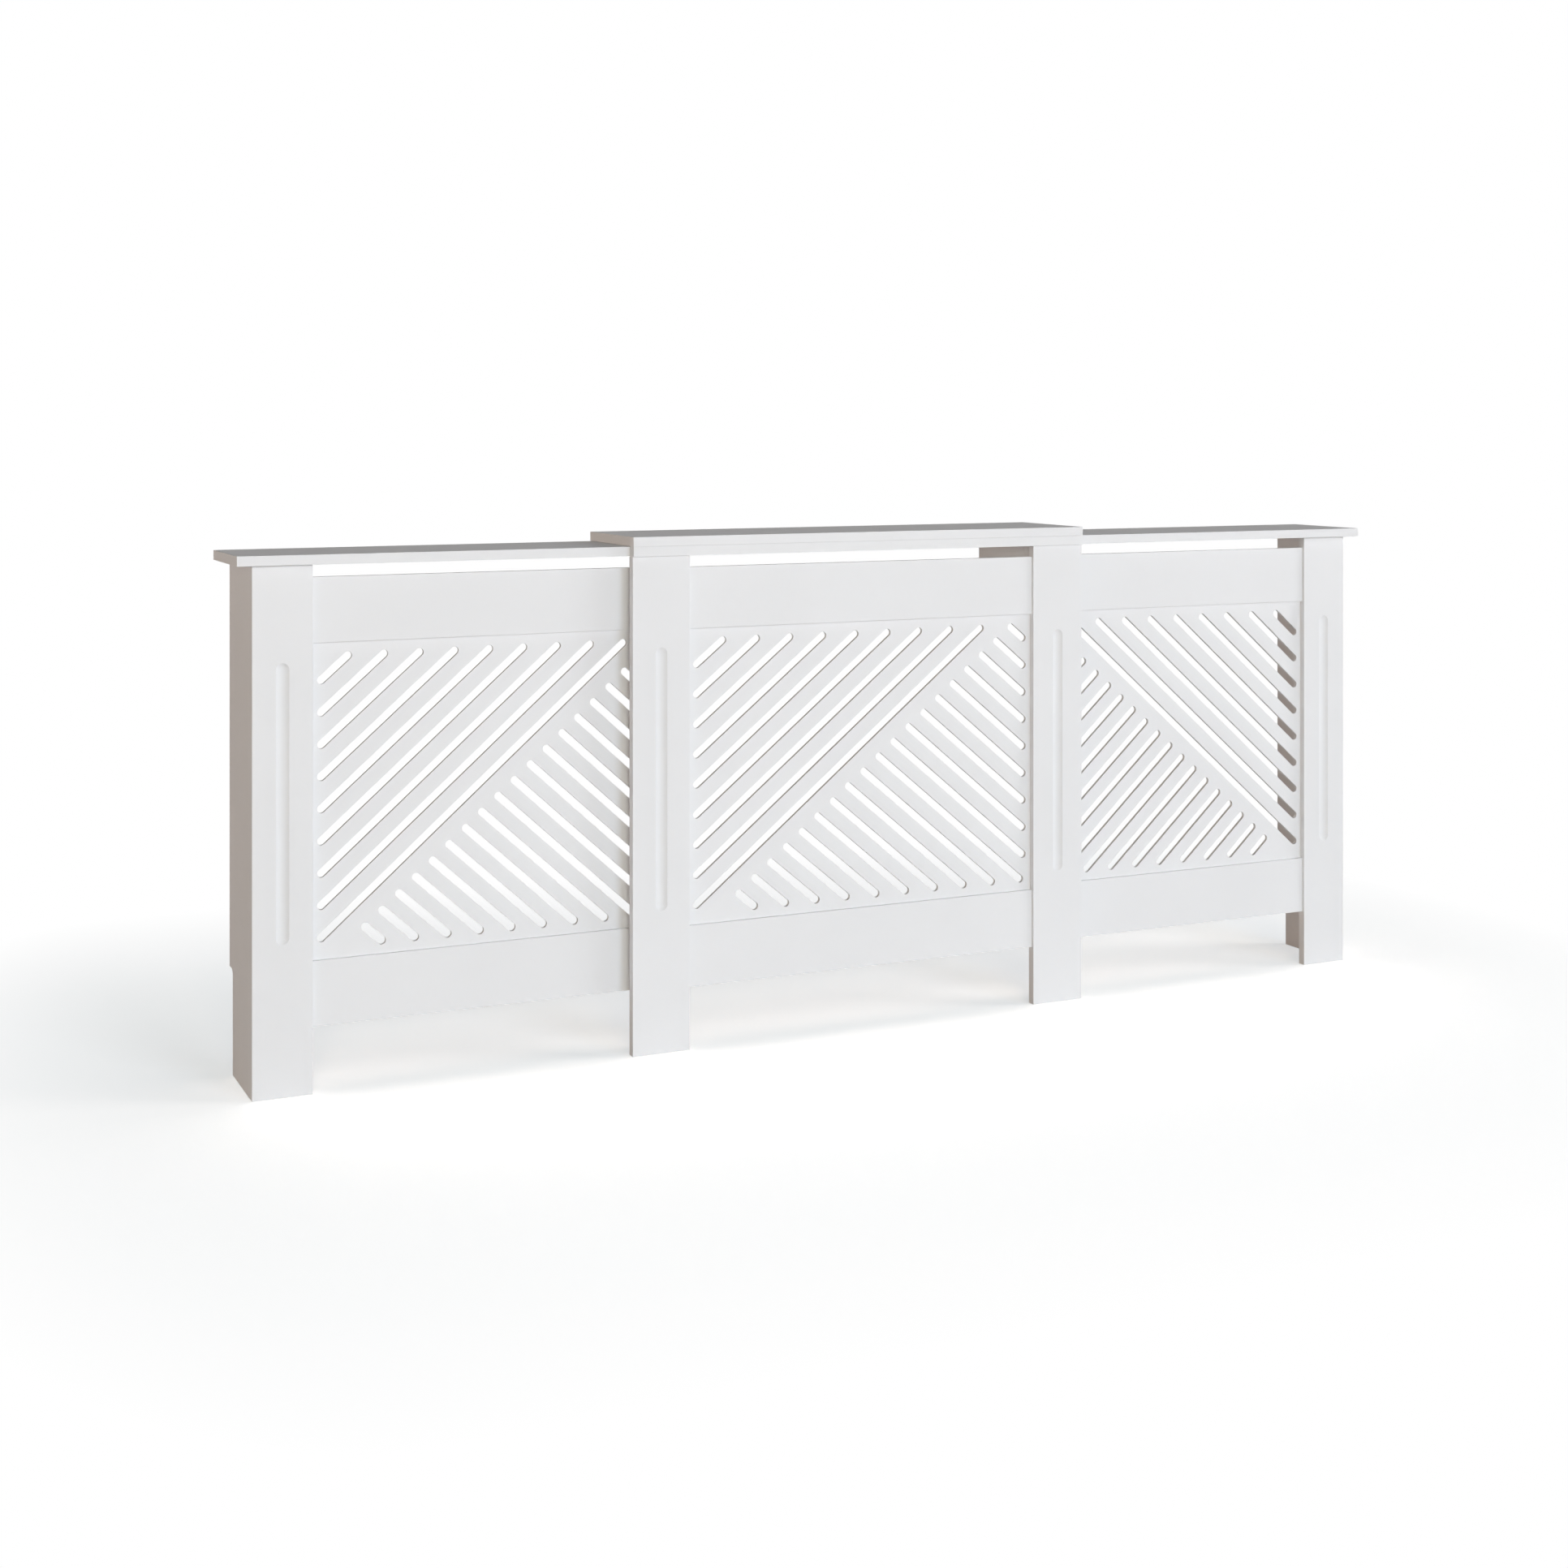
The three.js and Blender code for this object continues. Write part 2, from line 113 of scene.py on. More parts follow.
SKIRTING_RADIUS = 10 * MM
SKIRTING_DEPTH = 25 * MM
SKIRTING_HEIGHT = 162 * MM
SKIRTING_STEPS = 8         # of each corner of a side panel

BRACKET_THICKNESS = 2 * MM
BRACKET_BEND = 2 * MM      # inner radius of the bend
BRACKET_BEND_STEPS = 6
BRACKET_CORNER = 0.2 * MM
BRACKET_EDGE = 0.15 * MM
BRACKET_HOLE_RADIUS = 2.5 * MM
BRACKET_HOLE_LINE = 22 * MM  # from the corner of the angle
SCREW_HEAD = 2.2 * MM      # height of the head
SCREW_DOME = 0.85          # of the head's height is domed
SCREW_DOME_STEPS = 8
SCREW_RADIUS = 1.75 * MM
SCREW_POINT = 2 * SCREW_RADIUS
RECESS_ARM = 2.1 * MM      # from the middle of the cross recess to the end of an arm
RECESS_WEB = 0.35 * MM     # half the width of an arm
RECESS_DEPTH = 1.3 * MM
STEEL_SIDES = 32           # round the screw and the bracket's holes

# ---------------------------------------------------------------------------------------------
# Materials
# ---------------------------------------------------------------------------------------------

NOISE_LOW, NOISE_HIGH = 0.3, 0.7  # most of a noise's values lie between these


def linear(r, g, b):
    """A colour as it is seen on a screen, 0 to 255, as the shader wants it."""
    def one(v):
        v /= 255
        return v / 12.92 if v <= 0.04045 else ((v + 0.055) / 1.055) ** 2.4
    return (one(r), one(g), one(b), 1)


class Nodes:
    """A material's node tree, with short ways to add to it."""

    def __init__(self, name):
        self.material = bpy.data.materials.new(name)
        self.material.use_nodes = True
        self.tree = self.material.node_tree
        self.shader = self.tree.nodes["Principled BSDF"]
        self.coordinates = self.add("ShaderNodeTexCoord").outputs["Object"]

    def add(self, kind, inputs=None, **settings):
        """A new node, with its settings and inputs."""
        node = self.tree.nodes.new(kind)
        for key, value in settings.items():
            setattr(node, key, value)
        self.feed(node, inputs or {})
        return node

    def feed(self, node, inputs):
        """Links each of the node's inputs to another's output, or sets it to a constant."""
        for key, source in inputs.items():
            if isinstance(source, bpy.types.NodeSocket):
                self.tree.links.new(source, node.inputs[key])
            else:
                node.inputs[key].default_value = source

    def stretched(self, scale):
        """The object's coordinates, scaled along each axis."""
        node = self.add("ShaderNodeMapping", {"Vector": self.coordinates, "Scale": scale})
        return node.outputs["Vector"]

    def vector(self, operation, vector, constant=(0, 0, 0)):
        node = self.add("ShaderNodeVectorMath", {0: vector, 1: constant}, operation=operation)
        return node.outputs["Vector"]

    def value(self, operation, first, second):
        node = self.add("ShaderNodeMath", {0: first, 1: second}, operation=operation)
        return node.outputs["Value"]

    def noise(self, scale, detail, roughness=0.5, vector=None):
        node = self.add("ShaderNodeTexNoise", {
            "Vector": vector or self.coordinates,
            "Scale": scale,
            "Detail": detail,
            "Roughness": roughness,
        })
        return node.outputs["Fac"]

    def ramp(self, value, stops):
        """A colour that runs through the stops, each a position and a colour of 0 to 255."""
        node = self.add("ShaderNodeValToRGB", {"Fac": value})
        elements = node.color_ramp.elements
        while len(elements) < len(stops):
            elements.new(0.5)
        for element, (position, colour) in zip(elements, stops):
            element.position = position
            element.color = linear(*colour)
        return node.outputs["Color"]

    def spread(self, noise, low, high):
        """The noise's values, spread from low to high."""
        node = self.add("ShaderNodeMapRange", {
            "Value": noise,
            "From Min": NOISE_LOW,
            "From Max": NOISE_HIGH,
            "To Min": low,
            "To Max": high,
        })
        return node.outputs["Result"]

    def bump(self, height, strength, distance, under=None):
        """The surface's direction with a relief on it, and with another one under that."""
        node = self.add("ShaderNodeBump", {
            "Height": height,
            "Strength": strength,
            "Distance": distance,
        })
        if under is not None:
            self.feed(node, {"Normal": under})
        return node.outputs["Normal"]

    def mixed(self, share, first, second):
        """The first shader where the share is 0, and the second where it is 1."""
        node = self.add("ShaderNodeMixShader", {"Fac": share, 1: first, 2: second})
        return node.outputs["Shader"]


def satin_lacquer():
    """White satin lacquer on fibreboard: nearly even, with a sprayed surface's fine texture."""
    nodes = Nodes("satin_lacquer")
    cloud = nodes.noise(scale=7, detail=3)
    sheen = nodes.noise(scale=40, detail=2)
    peel = nodes.bump(nodes.noise(scale=650, detail=2), strength=0.05, distance=0.3 * MM)
    wave = nodes.noise(scale=90, detail=1)
    nodes.feed(nodes.shader, {
        "Base Color": nodes.ramp(cloud, [(0.3, (231, 232, 234)), (0.7, (233, 234, 236))]),
        "Roughness": nodes.spread(sheen, low=0.58, high=0.66),
        "Specular IOR Level": 0.15,
        "Normal": nodes.bump(wave, strength=0.03, distance=1 * MM, under=peel),
    })
    return nodes.material


def planed_softwood():
    """Planed softwood: long grain along Z, pale with darker growth lines."""
    nodes = Nodes("planed_softwood")
    grain = nodes.noise(scale=1, detail=5, roughness=0.6, vector=nodes.stretched((260, 260, 6)))
    nodes.feed(nodes.shader, {
        "Base Color": nodes.ramp(grain, [
            (0.3, (176, 140, 98)), (0.5, (207, 176, 134)), (0.7, (222, 196, 156))]),
        "Roughness": nodes.spread(grain, low=0.6, high=0.75),
        "Normal": nodes.bump(grain, strength=0.3, distance=0.2 * MM),
    })
    return nodes.material


def beech():
    """Beech: fine flecks on a warm ground."""
    nodes = Nodes("beech")
    fleck = nodes.noise(scale=1, detail=4, roughness=0.65, vector=nodes.stretched((900, 900, 900)))
    nodes.feed(nodes.shader, {
        "Base Color": nodes.ramp(fleck, [
            (0.35, (188, 146, 104)), (0.5, (210, 174, 132)), (0.7, (221, 190, 152))]),
        "Roughness": nodes.spread(fleck, low=0.55, high=0.7),
        "Normal": nodes.bump(fleck, strength=0.2, distance=0.1 * MM),
    })
    return nodes.material


def plated_steel():
    """Zinc-plated steel, with the soft mottle of the plating."""
    nodes = Nodes("plated_steel")
    mottle = nodes.noise(scale=220, detail=4, roughness=0.6)
    grit = nodes.noise(scale=1500, detail=2)
    nodes.feed(nodes.shader, {
        "Base Color": nodes.ramp(mottle, [(0.35, (176, 179, 184)), (0.65, (206, 208, 210))]),
        "Metallic": 1,
        "Roughness": nodes.spread(mottle, low=0.28, high=0.42),
        "Normal": nodes.bump(grit, strength=0.08, distance=0.05 * MM),
    })
    return nodes.material


# A finish is the record's material slot and the Blender material that shows it.
LACQUER = satin_lacquer()
PAINT = ("painted_board", LACQUER)
GRILLE_PAINT = ("painted_grille", LACQUER)
RAW = ("raw_board", planed_softwood())
STEEL = ("bare_steel", plated_steel())
BEECH = beech()

# ---------------------------------------------------------------------------------------------
# Mesh tools
# ---------------------------------------------------------------------------------------------


def object_of(name, bm):
    """An object with the mesh that is in bm, all its faces turned outwards."""
    bmesh.ops.remove_doubles(bm, verts=bm.verts, dist=1e-7)
    bmesh.ops.recalc_face_normals(bm, faces=bm.faces)
    mesh = bpy.data.meshes.new(name)
    bm.to_mesh(mesh)
    bm.free()
    made = bpy.data.objects.new(name, mesh)
    bpy.context.scene.collection.objects.link(made)
    return made


def applied(obj):
    """Makes the object's modifiers part of its mesh."""
    graph = bpy.context.evaluated_depsgraph_get()
    mesh = bpy.data.meshes.new_from_object(obj.evaluated_get(graph))
    old = obj.data
    obj.modifiers.clear()
    obj.data = mesh
    mesh.name = obj.name
    bpy.data.meshes.remove(old)


def less(obj, cutters):
    """Takes the cutters' shapes out of the object, and deletes the cutters."""
    for cutter in cutters:
        cut = obj.modifiers.new("cut", "BOOLEAN")
        cut.operation = "DIFFERENCE"
        cut.solver = "EXACT"
        cut.object = cutter
    applied(obj)
    for cutter in cutters:
        mesh = cutter.data
        bpy.data.objects.remove(cutter)
        bpy.data.meshes.remove(mesh)


def smooth(obj):
    """Smooth shading that leaves the flat faces flat and the cut edges sharp."""
    obj.data.shade_smooth()
    obj.data.set_sharp_from_angle(angle=math.radians(SMOOTH_ANGLE))
    weight = obj.modifiers.new("weight", "WEIGHTED_NORMAL")
    weight.mode = "FACE_AREA"
    weight.weight = 100
    weight.keep_sharp = True
    applied(obj)


def dress(obj, finish, body, node):
    """The finish, the body it rides on and the CAD node that it stands for."""
    slot, material = finish
    obj.data.materials.clear()
    obj.data.materials.append(material)
    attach(obj, body)
    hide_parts(node)


def complete(obj, finish, unit, node, cutters=()):
    """Cuts a piece's holes and rebates, smooths it and dresses it."""
    if cutters:
        less(obj, cutters)
    smooth(obj)
    dress(obj, finish, BODY[unit], node)


def rounded_box(name, low, high, radius):
    """A box between two corners. A radius of 0 leaves its edges sharp."""
    bm = bmesh.new()
    bmesh.ops.create_cube(bm, size=1)
    low, high = Vector(low), Vector(high)
    bmesh.ops.scale(bm, vec=high - low, verts=bm.verts)
    bmesh.ops.translate(bm, vec=(low + high) / 2, verts=bm.verts)
    if radius:
        bmesh.ops.bevel(bm, geom=bm.edges[:], offset=radius, segments=EDGE_STEPS,
                        profile=0.5, affect="EDGES", clamp_overlap=True)
    return object_of(name, bm)


def round_cutter(low, high, radius, sides):
    """A cylinder between two points on one axis."""
    low, high = Vector(low), Vector(high)
    along = high - low
    bm = bmesh.new()
    turn = Vector((0, 0, 1)).rotation_difference(along).to_matrix().to_4x4()
    bmesh.ops.create_cone(bm, cap_ends=True, segments=sides, radius1=radius, radius2=radius,
                          depth=along.length,
                          matrix=Matrix.Translation((low + high) / 2) @ turn)
    return object_of("cutter", bm)


def stadium(a, b, radius):
    """A round-ended slot's outline, from its two end centres."""
    angle = math.atan2(b[1] - a[1], b[0] - a[0])
    points = []
    for centre, start in ((b, angle - math.pi / 2), (a, angle + math.pi / 2)):
        for i in range(SLOT_STEPS + 1):
            turn = start + math.pi * i / SLOT_STEPS
            points.append((centre[0] + radius * math.cos(turn),
                           centre[1] + radius * math.sin(turn)))
    return points


def rounded_outline(corners, steps):
    """A closed outline of (x, y, radius) corners, with each one turned into an arc."""
    points = []
    for i, (x, y, radius) in enumerate(corners):
        here = Vector((x, y))
        back = (Vector(corners[i - 1][:2]) - here).normalized()
        ahead = (Vector(corners[(i + 1) % len(corners)][:2]) - here).normalized()
        half = back.angle(ahead) / 2
        centre = here + (back + ahead).normalized() * radius / math.sin(half)
        first = here + back * radius / math.tan(half) - centre
        sweep = first.angle_signed(here + ahead * radius / math.tan(half) - centre)
        for k in range(steps + 1):
            turned = first.copy()
            turned.rotate(Matrix.Rotation(-sweep * k / steps, 2))
            points.append(tuple(centre + turned))
    return points


def face_outline(low, high):
    """The outline in X and Z of a board's face, with its corners eased."""
    return rounded_outline([
        (low.x, low.z, CORNER), (high.x, low.z, CORNER),
        (high.x, high.z, CORNER), (low.x, high.z, CORNER)], CORNER_STEPS)


def shifted(points, distance):
    """A counter-clockwise outline, moved inwards by the distance."""
    moved = []
    for i, (x, y) in enumerate(points):
        before, after = Vector(points[i - 1]), Vector(points[(i + 1) % len(points)])
        here = Vector((x, y))
        a = (here - before).normalized()
        b = (after - here).normalized()
        normal = Vector((-a.y - b.y, a.x + b.x)).normalized()
        reach = distance / normal.dot(Vector((-a.y, a.x)))
        moved.append(tuple(here + normal * reach))
    return moved


def edge_profile(thickness, radius):
    """How far a rounded edge draws in, and how deep it is there, from the front to the back."""
    front = []
    for i in range(EDGE_STEPS + 1):
        turn = math.pi / 2 * i / EDGE_STEPS
        front.append((radius * (1 - math.sin(turn)), radius * (1 - math.cos(turn))))
    return front + [(inset, thickness - depth) for inset, depth in reversed(front)]


def strip(bm, rings):
    """Joins rings of as many points each. Returns the rings' vertices."""
    made = [[bm.verts.new(p) for p in ring] for ring in rings]
    count = len(rings[0])
    for near, far in zip(made, made[1:]):
        for i in range(count):
            j = (i + 1) % count
            bm.faces.new((near[i], near[j], far[j], far[i]))
    return made


def rim(bm, place, outline, thickness, radius):
    """The strip round a board's outline. `place` puts (u, v, depth) in the row frame."""
    return strip(bm, [[place(u, v, depth) for u, v in shifted(outline, inset)]
                      for inset, depth in edge_profile(thickness, radius)])


def fill(bm, *rings):
    """A flat face over the first ring, less the others."""
    edges = []
    for ring in rings:
        for i, vertex in enumerate(ring):
            other = ring[(i + 1) % len(ring)]
            edges.append(bm.edges.get((vertex, other)) or bm.edges.new((vertex, other)))
    bmesh.ops.triangle_fill(bm, edges=edges, use_beauty=True, use_dissolve=False)


def plate(name, place, outline, thickness, radius, slots=()):
    """A flat board. A slot is its two end centres and its ends' radius."""
    bm = bmesh.new()
    walls = [rim(bm, place, outline, thickness, radius)]
    for a, b, r in slots:
        walls.append(strip(bm, [[place(u, v, depth) for u, v in stadium(a, b, r + inset)]
                                for inset, depth in edge_profile(thickness, radius)]))
    fill(bm, *[wall[0] for wall in walls])
    fill(bm, *[wall[-1] for wall in walls])
    return object_of(name, bm)


# ---------------------------------------------------------------------------------------------
# What the boards share
# ---------------------------------------------------------------------------------------------

SIDES = {"left": -1, "right": 1}
BODY = {"centre": "centre_unit", "left": "left_unit", "right": "right_unit"}
DOWELS = [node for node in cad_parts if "dowel" in node]


def dowel_holes(low, high):
    """A cutter for each dowel that reaches into the box between the two corners."""
    cutters = []
    for node in DOWELS:
        a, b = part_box(node)
        if any(b[i] <= low[i] or a[i] >= high[i] for i in range(3)):
            continue
        axis = max(range(3), key=lambda i: b[i] - a[i])
        across = [i for i in range(3) if i != axis]
        start = (a + b) / 2
        end = start.copy()
        start[axis], end[axis] = a[axis] - FIT_GAP, b[axis] + FIT_GAP
        radius = max((b[i] - a[i]) / 2 for i in across) + FIT_GAP
        cutters.append(round_cutter(start, end, radius, DOWEL_HOLE_SIDES))
    return cutters


def grille_rebate(grille):
    """The cutter of the rebate that a grille lies in."""
    low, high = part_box(grille)
    gap = Vector((FIT_GAP, 0, FIT_GAP))
    low, high = low - gap, high + gap
    low.y -= GLUE_LINE
    high.y += REBATE_REACH
    return rounded_box("cutter", low, high, 0)


def behind(front):
    """Puts (x, z, depth) in the row frame, for a board whose face is at Y = front."""
    return lambda x, z, depth: (x, front + depth, z)


def board(node, unit, radius=EDGE, cutters=(), finish=PAINT):
    """A plain board at the node's place, with eased edges and its dowel holes."""
    low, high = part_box(node)
    made = rounded_box(f"{node}_board", low, high, radius)
    complete(made, finish, unit, node, [*cutters, *dowel_holes(low, high)])


def rail(node, unit, grille_node):
    """A board that makes one face with its neighbours and holds an edge of the grille."""
    board(node, unit, SEAM_EDGE, [grille_rebate(grille_node)])


def groove_profile():
    """The radius and depth of the rings of a groove, from its rim to its middle."""
    half = FLUTE_WIDTH / 2
    round_radius = (half ** 2 + FLUTE_DEPTH ** 2) / (2 * FLUTE_DEPTH)
    drop = round_radius - FLUTE_DEPTH
    slope = math.asin(half / round_radius)
    profile = []
    for i in range(FLUTE_RIM_STEPS + 1):
        turn = slope * i / FLUTE_RIM_STEPS
        profile.append((half + FLUTE_RIM * (1 - math.sin(turn)),
                        FLUTE_RIM * (1 - math.cos(turn))))
    inner = half - FLUTE_RIM_END
    for i in range(FLUTE_STEPS):
        radius = inner * (1 - i / FLUTE_STEPS)
        profile.append((radius, math.sqrt(round_radius ** 2 - radius ** 2) - drop))
    profile.append((0, FLUTE_DEPTH))
    return profile


def post(node, unit, grille_node):
    """A post with its round-bottomed groove."""
    low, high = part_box(node)
    middle = (low.x + high.x) / 2
    half = FLUTE_WIDTH / 2
    ends = ((middle, FLUTE_BOTTOM + half), (middle, FLUTE_TOP - half))
    place = behind(low.y)

    bm = bmesh.new()
    outer = rim(bm, place, face_outline(low, high), high.y - low.y, EDGE)
    groove = strip(bm, [[place(x, z, depth) for x, z in stadium(*ends, radius)]
                        for radius, depth in groove_profile()])
    fill(bm, outer[0], groove[0])
    fill(bm, outer[-1])
    made = object_of(f"{node}_board", bm)
    complete(made, PAINT, unit, node, [grille_rebate(grille_node), *dowel_holes(low, high)])


def inside_field(point, slope, field):
    """The stretch of the line through the point that lies inside the field."""
    def at(x):
        return point[1] + slope * (x - point[0])

    def reach(z):
        return point[0] + (z - point[1]) / slope

    rising = slope > 0
    x0 = max(field["left"], reach(field["bottom"] if rising else field["top"]))
    x1 = min(field["right"], reach(field["top"] if rising else field["bottom"]))
    return (x0, at(x0)), (x1, at(x1))


def slot_lines(width, corner_drop, field):
    """The slots' end centres: long ones rise from the outer edge, and short ones fall."""
    rise, fall = SLOT_RISE / width, SLOT_FALL / width
    lines = []
    for i in range(LONG_SLOTS):
        start = (0, field["top"] - corner_drop - i * SLOT_PITCH)
        lines.append(inside_field(start, rise, field))
    wide = {**field, "right": math.inf}
    divider = (0, field["top"] - corner_drop - LONG_SLOTS * SLOT_PITCH)
    foot, head = inside_field(divider, rise, wide)
    for i in range(SHORT_SLOTS):
        t = i / SHORT_SLOTS
        start = (head[0] + t * (foot[0] - head[0]), head[1] + t * (foot[1] - head[1]))
        lines.append((start, inside_field(start, -fall, field)[1]))
    return [(a, b) for a, b in lines if b[0] - a[0] > SHORTEST_SLOT]


def grille(node, unit, outward, pattern_width, corner_drop, start_margin):
    """A slotted grille. `outward` is the sign of X at the pattern's outer edge."""
    low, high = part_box(node)
    outer = (low.x if outward < 0 else high.x) - outward * GRILLE_LAP
    opening = high.x - low.x - 2 * GRILLE_LAP
    end = SLOT_WIDTH / 2
    field = {
        "left": start_margin + end,
        "right": min(pattern_width, opening) - SLOT_MARGIN_SIDE - end,
        "bottom": low.z + GRILLE_LAP + SLOT_MARGIN_BOTTOM + end,
        "top": high.z - GRILLE_LAP - SLOT_MARGIN_TOP - end,
    }
    slots = [((outer - outward * a[0], a[1]), (outer - outward * b[0], b[1]), end)
             for a, b in slot_lines(pattern_width, corner_drop, field)]
    made = plate(f"{node}_sheet", behind(low.y), face_outline(low, high), high.y - low.y,
                 SLOT_EDGE, slots)
    complete(made, GRILLE_PAINT, unit, node)


# ---------------------------------------------------------------------------------------------
# Centre unit
# ---------------------------------------------------------------------------------------------

board("centre_top", "centre", SEAM_EDGE)
board("centre_apron", "centre", SEAM_EDGE)
for side in SIDES:
    post(f"centre_{side}_post", "centre", "centre_grille")
for level in ("upper", "lower"):
    rail(f"centre_{level}_rail", "centre", "centre_grille")
centre_low, centre_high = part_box("centre_grille")
centre_opening = centre_high.x - centre_low.x - 2 * GRILLE_LAP
grille("centre_grille", "centre", -1, centre_opening, SLOT_CORNER_DROP,
       SLOT_MARGIN_CENTRE_START)

# ---------------------------------------------------------------------------------------------
# Side units
# ---------------------------------------------------------------------------------------------


def side_panel(side):
    """The side panel, with its cut-out for the skirting board."""
    node = f"{side}_side_panel"
    low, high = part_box(node)
    notch = high.y - SKIRTING_DEPTH
    outline = rounded_outline([
        (low.y, low.z, CORNER), (notch, low.z, CORNER),
        (notch, SKIRTING_HEIGHT, SKIRTING_RADIUS), (high.y, SKIRTING_HEIGHT, CORNER),
        (high.y, high.z, CORNER), (low.y, high.z, CORNER)], SKIRTING_STEPS)
    made = plate(f"{node}_board", lambda y, z, depth: (low.x + depth, y, z), outline,
                 high.x - low.x, EDGE)
    complete(made, PAINT, side, node, dowel_holes(low, high))


def wall_bracket(side, sign):
    """A bent steel angle with a hole in each leg: one on the side panel, the other on the wall."""
    node = f"{side}_wall_bracket"
    low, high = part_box(node)
    t = BRACKET_THICKNESS
    corner, tip = (high.x, low.x) if sign > 0 else (low.x, high.x)
    inside = corner - sign * t
    outline = rounded_outline([
        (corner, high.y, BRACKET_BEND + t), (tip, high.y, BRACKET_CORNER),
        (tip, high.y - t, BRACKET_CORNER), (inside, high.y - t, BRACKET_BEND),
        (inside, low.y, BRACKET_CORNER), (corner, low.y, BRACKET_CORNER)][::sign],
        BRACKET_BEND_STEPS)
    made = plate(f"{node}_angle", lambda x, y, depth: (x, y, low.z + depth), outline,
                 high.z - low.z, BRACKET_EDGE)
    middle = (low.z + high.z) / 2
    on_wall = corner - sign * BRACKET_HOLE_LINE
    on_panel = high.y - BRACKET_HOLE_LINE
    holes = [
        round_cutter(start, end, BRACKET_HOLE_RADIUS, STEEL_SIDES) for start, end in (
            ((on_wall, high.y - 2 * t, middle), (on_wall, high.y + t, middle)),
            ((corner - 2 * t, on_panel, middle), (corner + 2 * t, on_panel, middle)))]
    complete(made, STEEL, side, node, holes)


def bracket_screw(side, sign):
    """A pan-head screw with a cross recess, driven into the side panel."""
    node = f"{side}_bracket_screw"
    low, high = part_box(node)
    centre = (low + high) / 2
    head_radius = (high.z - low.z) / 2
    head, tip = (low.x, high.x) if sign > 0 else (high.x, low.x)
    seat = head + sign * SCREW_HEAD
    profile = [(0, head)]
    for i in range(1, SCREW_DOME_STEPS + 1):
        turn = math.pi / 2 * i / SCREW_DOME_STEPS
        profile.append((head_radius * math.sin(turn),
                        head + sign * SCREW_HEAD * SCREW_DOME * (1 - math.cos(turn))))
    profile += [(head_radius, seat), (SCREW_RADIUS, seat),
                (SCREW_RADIUS, tip - sign * SCREW_POINT), (0, tip)]
    turns = [2 * math.pi * k / STEEL_SIDES for k in range(STEEL_SIDES)]
    bm = bmesh.new()
    strip(bm, [[(x, centre.y + r * math.cos(turn), centre.z + r * math.sin(turn))
                for turn in turns] for r, x in profile])
    made = object_of(f"{node}_head", bm)
    recess = [
        rounded_box("cutter", (head - RECESS_DEPTH, centre.y - across, centre.z - up),
                    (head + RECESS_DEPTH, centre.y + across, centre.z + up), 0)
        for across, up in ((RECESS_ARM, RECESS_WEB), (RECESS_WEB, RECESS_ARM))]
    complete(made, STEEL, side, node, recess)


for side, sign in SIDES.items():
    sheet = f"{side}_grille"
    board(f"{side}_shelf", side)
    post(f"{side}_post", side, sheet)
    side_panel(side)
    for level in ("upper", "lower"):
        rail(f"{side}_{level}_rail", side, sheet)
    grille(sheet, side, sign, SIDE_PATTERN_WIDTH, SIDE_SLOT_CORNER_DROP, SLOT_MARGIN_SIDE)
    board(f"{side}_inner_stile", side, cutters=[grille_rebate(sheet)])
    board(f"{side}_inner_brace", side)
    board(f"{side}_corner_batten", side, finish=RAW)
    wall_bracket(side, sign)
    bracket_screw(side, sign)

for node in DOWELS:
    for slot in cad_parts[node].material_slots:
        slot.material = BEECH

# ---------------------------------------------------------------------------------------------
# Floor, light and camera
# ---------------------------------------------------------------------------------------------

FLOOR_RADIUS = 40
FLOOR_SIDES = 96
FLOOR_DROP = 0.5 * MM      # keeps the floor clear of the ends of the posts and side panels
FLOOR_FADE = 1.15          # metres round the cover, over which the floor turns white
FLOOR_FADE_ENDS = 2.2      # times as fast past the cover's ends
# The camera sees the floor's own shading times the gain, plus the glow. The light in the shadows
# is warm, and these keep them grey.
FLOOR_GAIN = (1.74, 1.50, 1.35)
FLOOR_GLOW = (0.31, 0.41, 0.465)

HORIZON = (2.70, 2.12, 1.74)  # the light from all round, low down
HORIZON_FALLOFF = 6        # how fast it fades with the height it comes from
WHITE = (1, 1, 1, 1)

# Softboxes: the angle round the cover from its front, the angle over it, the watts, the colour
SOFTBOXES = {
    "left_softbox": (-15, 10, 1170, (0.99, 1.0, 0.90)),
    "right_softbox": (15, 10, 1134, (0.64, 0.80, 1.0)),
    "side_softbox": (65, 15, 1064, (0.91, 0.96, 1.0)),
    "overhead_softbox": (0, 85, 160, (1.0, 1.0, 1.0)),
}
SOFTBOX_DISTANCE = 20
SOFTBOX_SIZE = (7.0, 5.0)
SOFTBOX_AIM = Vector((0, 0, 0.5))

CAMERA_PLACE = (-1.6514, -3.3077, 0.9972)
CAMERA_TURN = 25           # degrees to the right of straight at the wall
CAMERA_LENS = 50           # millimetres, as the sensor
CAMERA_SENSOR = 36
CAMERA_DROP = 0.2291       # of the frame's width, below the lens's axis


def looked_at(nodes):
    """1 for a ray that shows the background: from the camera, a mirror or glass."""
    path = nodes.add("ShaderNodeLightPath")
    total = path.outputs["Is Camera Ray"]
    for name in ("Is Glossy Ray", "Is Transmission Ray"):
        total = nodes.value("MAXIMUM", total, path.outputs[name])
    return total


